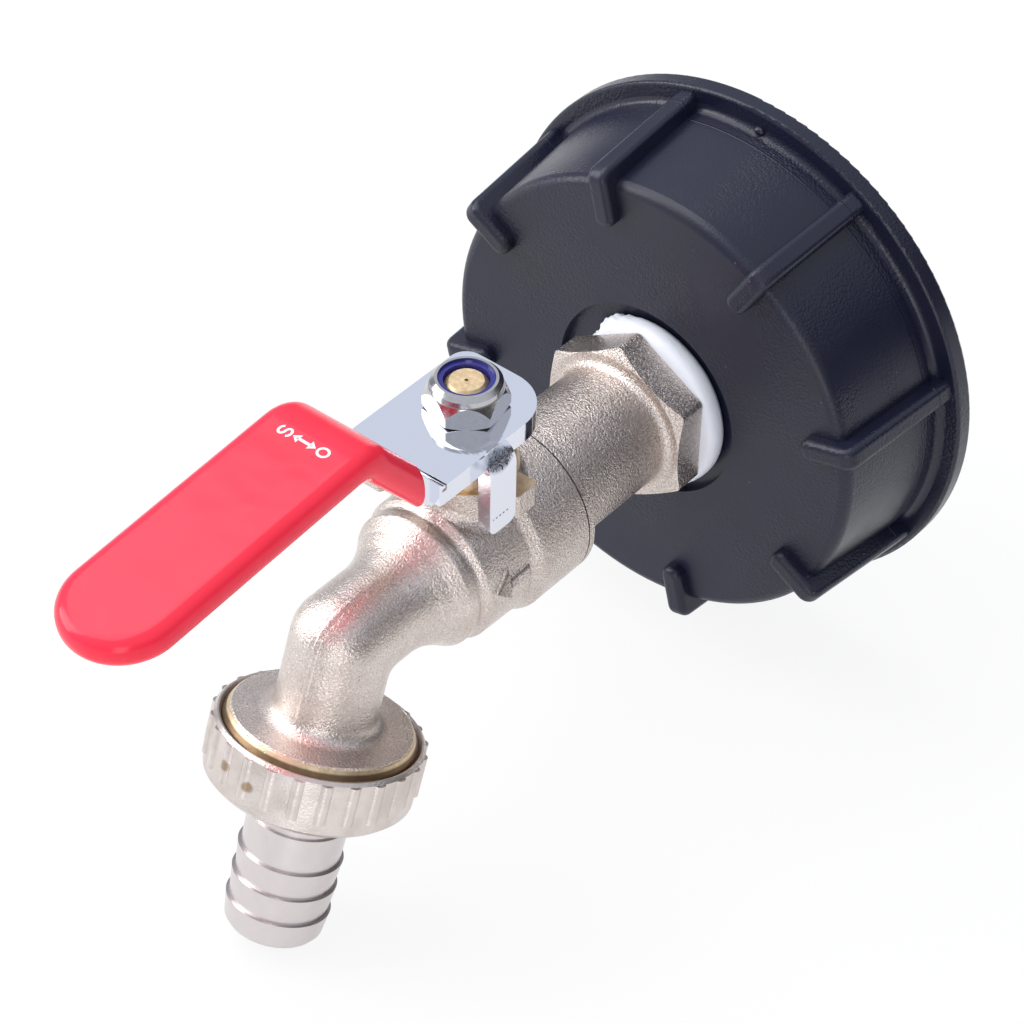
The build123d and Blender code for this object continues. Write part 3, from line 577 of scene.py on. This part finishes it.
# Flow arrow: a low cast mark on the side of the body, rounded over by the blasting.
ARROW_Y = -61.2
ARROW_LENGTH = 7.2
ARROW_HEAD = 3.4
ARROW_HEAD_HALF = 2.9
ARROW_SHAFT_HALF = 0.95
ARROW_RISE = 0.50
ARROW_SLOPE = 0.45
ARROW_ANGLE = radians(8)
ARROW_STEP = 0.14
ARROW_SEAT_R = 11.0


def arrow_rise(along, across):
    """Height of the mark at a place, rising softly from its outline."""
    shaft = min(along, ARROW_LENGTH - ARROW_HEAD + 0.5 - along, ARROW_SHAFT_HALF - abs(across))
    left = along - (ARROW_LENGTH - ARROW_HEAD)
    head = min(left, (ARROW_HEAD_HALF * (1 - left / ARROW_HEAD) - abs(across)) * 0.78)
    inside = min(1.0, max(0.0, max(shaft, head) / ARROW_SLOPE))
    return ARROW_RISE * inside * inside * (3 - 2 * inside)


form = bmesh.new()
points = {}
half_steps = int(ARROW_HEAD_HALF / ARROW_STEP) + 2
for i in range(int(ARROW_LENGTH / ARROW_STEP) + 2):
    for j in range(-half_steps, half_steps + 1):
        rise = arrow_rise(i * ARROW_STEP, j * ARROW_STEP)
        rough = 0.09 * noise.noise(Vector((i, j, 0)) * 0.45) * (rise / ARROW_RISE)
        y = ARROW_Y - i * ARROW_STEP
        r = body_radius(y) + rise + rough - 0.02
        angle = ARROW_ANGLE + j * ARROW_STEP / ARROW_SEAT_R
        points[i, j] = (form.verts.new(Vector((r * cos(angle), y, r * sin(angle))) * MM), rise)
for (i, j) in list(points):
    corners = [points.get(key) for key in ((i, j), (i + 1, j), (i + 1, j + 1), (i, j + 1))]
    if None not in corners and max(rise for _, rise in corners) > 0.0:
        form.faces.new([vert for vert, _ in corners])
bmesh.ops.delete(form, geom=[v for v in form.verts if not v.link_faces], context="VERTS")
flow_arrow = shaped("flow_arrow", form, "valve", 80)

for cast in (neck_root, spout_root, parting_ridge, flow_arrow):
    cast.data.materials.append(cast_metal)


# Ball and stem: a polished chrome ball in the waterway, turned by a brass stem whose
# threaded end shows its turning marks and centre dot inside the lock nut.
place = finish("chrome_ball")
wipe = place.grain(1.5, 2.0)
polish = 0.06 + wipe * 0.06
chrome = (0.78, 0.79, 0.81)
close(place, [nodes["ball"]], height=wipe * 0.002, Base_Color=chrome, Metallic=1.0, Roughness=polish)

place = finish("turned_brass")
off_axis = place.stretched(1.0, 1.0, 0.0).distance((0.0, STEM_Y, 0.0))
rings = (off_axis * 17.0).wave()
wear = place.grain(0.8, 2.0, 0.5)
brass = wear.above(0.30, 0.72).choose((0.62, 0.46, 0.27), (0.78, 0.61, 0.39))
dot = 1.0 - off_axis.above(0.16, 0.30)
brass = dot.choose(brass, (0.10, 0.06, 0.02))
polish = 0.42 + wear * 0.10
relief = rings * 0.003 - dot * 0.10
close(place, [nodes["stem"]], height=relief, Base_Color=brass, Metallic=1.0, Roughness=polish)


# Lever plate: 3 mm steel, blanked, bent and bright chromed. The plating is a mirror with a
# long faint waviness, and a puckered patch where the stop tab is bent. The tab's outer face
# has a row of short stamped dashes.
PUCKER_PLACE = (8.9, -65.8, 22.4)
PUCKER_LENGTHENED = 0.62
TAB_FACE_X = 9.6
DASHES_Z = 13.7
DASHES_SPAN = (-67.6, -64.2)
CREASE_Y = -75.3
CREASE_Z = 22.9
CHROME = (0.77, 0.79, 0.86)
CHROME_DARK = (0.12, 0.13, 0.17)

place = finish("lever_chrome")
x, y, z = place.parts()
wave = place.grain(6.0, 1.0)
squash = (1.0, PUCKER_LENGTHENED, 1.0)
middle = tuple(a * b for a, b in zip(PUCKER_PLACE, squash))
pucker = 1.0 - place.stretched(*squash).distance(middle).above(1.0, 1.9)
crumple = place.grain(0.55, 2.0, 0.6)
streak = place.stretched(0.22, 1.0, 1.0).grain(0.5, 2.0, 0.6).above(0.60, 0.72)
row = (1.0 - abs(z - DASHES_Z).above(0.06, 0.14)) * x.above(TAB_FACE_X, TAB_FACE_X + 0.1)
gaps = (y * 9.0).wave().above(-0.2, 0.2)
back, front = DASHES_SPAN
dashes = row * gaps * y.above(back, back + 0.1) * (1.0 - y.above(front - 0.1, front))
relief = wave * 0.012 + pucker * crumple * 0.30 + streak * 0.002 - dashes * 0.04
plate = (dashes * 0.8).choose(CHROME, (0.05, 0.05, 0.06))
plate = (pucker * 0.75).choose(plate, CHROME_DARK)
polish = 0.06 + streak * 0.08 + pucker * 0.10
crease = 1.0 - abs(y - CREASE_Y).above(0.25, 0.60)
relief = relief + crease * z.above(CREASE_Z, CREASE_Z + 0.6) * 0.22
close(place, [nodes["lever_plate"]], height=relief, Base_Color=plate, Metallic=1.0, Roughness=polish)


# Lever sleeve: red vinyl, dipped over the steel, glossy and softly uneven like a thick
# paint. A white print, shut and open with an arrow between, runs across the second bend.
PRINT_Y = -91.9
PRINT_S_X = -3.0
PRINT_O_X = 3.2
LETTER_R = 0.46
LETTER_WIDTH = 0.34
LETTER_O_HALF = (0.78, 0.70)
ARROW_ENDS = (-1.7, 2.0)
PRINT_HEAD = 1.0
PRINT_HEAD_HALF = 0.72
PRINT_SHAFT = 0.42
INK_LIFT = 0.03

place = finish("red_sleeve")
ripple = place.grain(5.0, 1.0)
fine = place.grain(0.7, 2.0, 0.5)
red = ripple.choose((0.90, 0.030, 0.060), (0.96, 0.038, 0.074))
relief = ripple * 0.09 + fine * 0.003
polish = 0.17 + fine * 0.05
sleeve = nodes["lever_sleeve"]
close(place, [sleeve], height=relief, Base_Color=red, Roughness=polish, Specular_IOR_Level=0.24)

skin = sleeve.data
sleeve_tree = BVHTree.FromPolygons([v.co for v in skin.vertices], [p.vertices for p in skin.polygons])


def on_sleeve(x, y):
    """The point of the print above the sleeve's top at a place."""
    hit = sleeve_tree.ray_cast(Vector((x, y, 60.0)) * MM, Vector((0, 0, -1)))[0]
    return (x, y, hit.z / MM + INK_LIFT)


def inked(form, line, width, closed=False):
    """A band of ink of one width along a line of places."""
    loops = []
    count = len(line)
    for k, place in enumerate(line):
        ahead = Vector(line[(k + 1) % count if closed else min(k + 1, count - 1)])
        behind = Vector(line[(k - 1) % count if closed else max(k - 1, 0)])
        side = (ahead - behind).orthogonal().normalized() * width / 2
        loops.append([on_sleeve(*(Vector(place) + side * t)) for t in (-1, -0.5, 0, 0.5, 1)])
    skinned(form, loops, closed)


form = bmesh.new()
circle = [(cos(2 * pi * k / 48), sin(2 * pi * k / 48)) for k in range(48)]
half_x, half_y = LETTER_O_HALF
letter = [(PRINT_O_X + half_x * c, PRINT_Y + half_y * s) for c, s in circle]
inked(form, letter, LETTER_WIDTH, closed=True)
upper = [(cos(a), sin(a)) for a in [radians(10 + 260 * k / 24) for k in range(25)]]
letter = [(1.35 * c * LETTER_R, LETTER_R * (1 + s)) for c, s in upper]
letter += [(-right, -up) for right, up in reversed(letter[:-1])]
inked(form, [(PRINT_S_X - up, PRINT_Y + right) for right, up in letter], LETTER_WIDTH)
left, right = ARROW_ENDS
inked(form, [(left + 0.6 + (right - left - 1.2) * k / 8, PRINT_Y) for k in range(9)], PRINT_SHAFT)
for tip, way in ((left, 1), (right, -1)):
    loops = []
    for k in range(7):
        half = PRINT_HEAD_HALF * k / 6 + 0.01
        x = tip + way * PRINT_HEAD * k / 6
        loops.append([on_sleeve(x, PRINT_Y + half * t) for t in (-1, -0.5, 0, 0.5, 1)])
    skinned(form, loops)
sleeve_print = shaped("sleeve_print", form, "lever")
place = finish("white_ink")
patchy = place.grain(0.5, 3.0, 0.6)
ink = patchy.choose((0.78, 0.74, 0.76), (0.90, 0.88, 0.90))
close(place, [sleeve_print], height=patchy * 0.01, Base_Color=ink, Roughness=0.32 + patchy * 0.1)


# Lock nut: bright steel with a blue nylon ring that shows inside its rolled lip.
place = finish("steel_nut")
brushed = place.grain(0.6, 2.0, 0.6)
drawn = place.stretched(1.0, 1.0, 0.12).grain(0.35, 2.0, 0.5)
relief = brushed * 0.010 + drawn * 0.006
polish = 0.11 + brushed * 0.10
steel = brushed.choose((0.46, 0.445, 0.44), (0.56, 0.55, 0.55))
close(place, [nodes["lock_nut"]], height=relief, Base_Color=steel, Metallic=1.0, Roughness=polish)
place = finish("blue_nylon")
sheen = place.grain(0.6, 2.0)
nylon = sheen.choose((0.016, 0.016, 0.15), (0.024, 0.024, 0.22))
close(place, [nodes["nylon_insert"]], height=sheen * 0.01, Base_Color=nylon, Roughness=0.20 + sheen * 0.08)


# Swivel nut: nickel-plated brass with shallow cast grips round it. The plate is chipped to
# brass along the top rim and stained brown in two spots.
CHIPPED = (0.30, 0.20, 0.09)
STAINED = (0.30, 0.19, 0.09)
STAINS = [((-3.6, -105.2, -11.0), 1.0), ((0.9, -105.9, -11.6), 1.0)]

place = finish("nickel_union")
sand = place.grain(0.32, 2.0, 0.55)
tone = place.grain(4.0, 2.0, 0.5).above(0.30, 0.70)
shade = tone.choose((0.62, 0.55, 0.51), (0.73, 0.665, 0.63))
drop = place.along(tuple(OUTLET_DIRECTION)) - OUTLET.dot(OUTLET_DIRECTION)
ragged = place.grain(0.9, 3.0, 0.65)
chips = ragged.above(0.60, 0.66) * (1.0 - drop.above(-0.2, 0.5))
shade = (chips * 0.8).choose(shade, CHIPPED)
for spot, size in STAINS:
    stain = 1.0 - (place.distance(spot) + ragged * 0.4).above(size * 0.7, size * 1.2)
    shade = (stain * 0.75).choose(shade, STAINED)
relief = sand * 0.060 + place.grain(3.0, 1.0) * 0.05
polish = 0.27 + sand * 0.10
close(place, [nodes["swivel_nut"]], height=relief, Base_Color=shade, Metallic=1.0, Roughness=polish)


# Hose tail: turned brass, nickel plated, with fine feed lines round it and sharp barbs.
place = finish("nickel_turned")
down = place.along(tuple(OUTLET_DIRECTION))
lathe = down.node("TexNoise", {"noise_dimensions": "1D"}, {"W": down, "Scale": 7.0, "Detail": 3.0})
smear = place.grain(1.8, 2.0, 0.5)
shade = smear.choose((0.65, 0.600, 0.595), (0.71, 0.66, 0.65))
relief = lathe * 0.008 + smear * 0.006
polish = 0.25 + lathe * 0.10
close(place, [nodes["hose_tail"]], height=relief, Base_Color=shade, Metallic=1.0, Roughness=polish)
